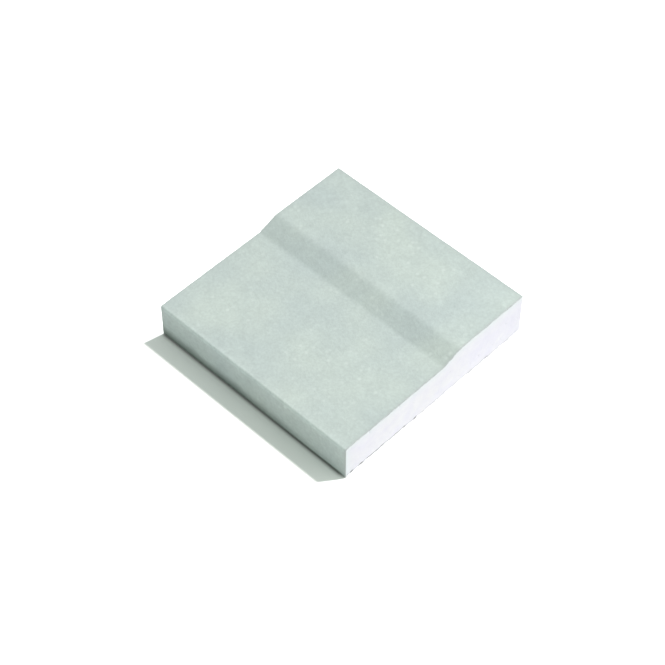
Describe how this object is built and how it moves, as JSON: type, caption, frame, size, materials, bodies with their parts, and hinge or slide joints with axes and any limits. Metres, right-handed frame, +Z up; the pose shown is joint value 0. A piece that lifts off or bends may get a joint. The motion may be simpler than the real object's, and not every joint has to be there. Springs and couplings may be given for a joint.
{
  "type": "drywall sheet",
  "caption": "Squared piece of paper-faced gypsum board with one tapered, paper-wrapped edge, to be taped and filled flush with the board beside it.",
  "frame": {"origin": "middle of the footprint, on the surface that the sheet lies on with its face up", "axes": "+X along the bound edge, +Y across the board away from the bound edge, +Z up through the thickness and out of the face"},
  "size_m": [0.06, 0.06, 0.0125],
  "materials": {
    "gypsum": "matte, fine chalky white with small air bubbles",
    "face_paper": "matte pale green paper with faint mottling and fibres",
    "back_paper": "matte grey-brown recycled paper with dark specks"
  },
  "bodies": {
    "root": {"gypsum_core": "gypsum", "face_paper": "face_paper", "back_paper": "back_paper"}
  },
  "joints": []
}
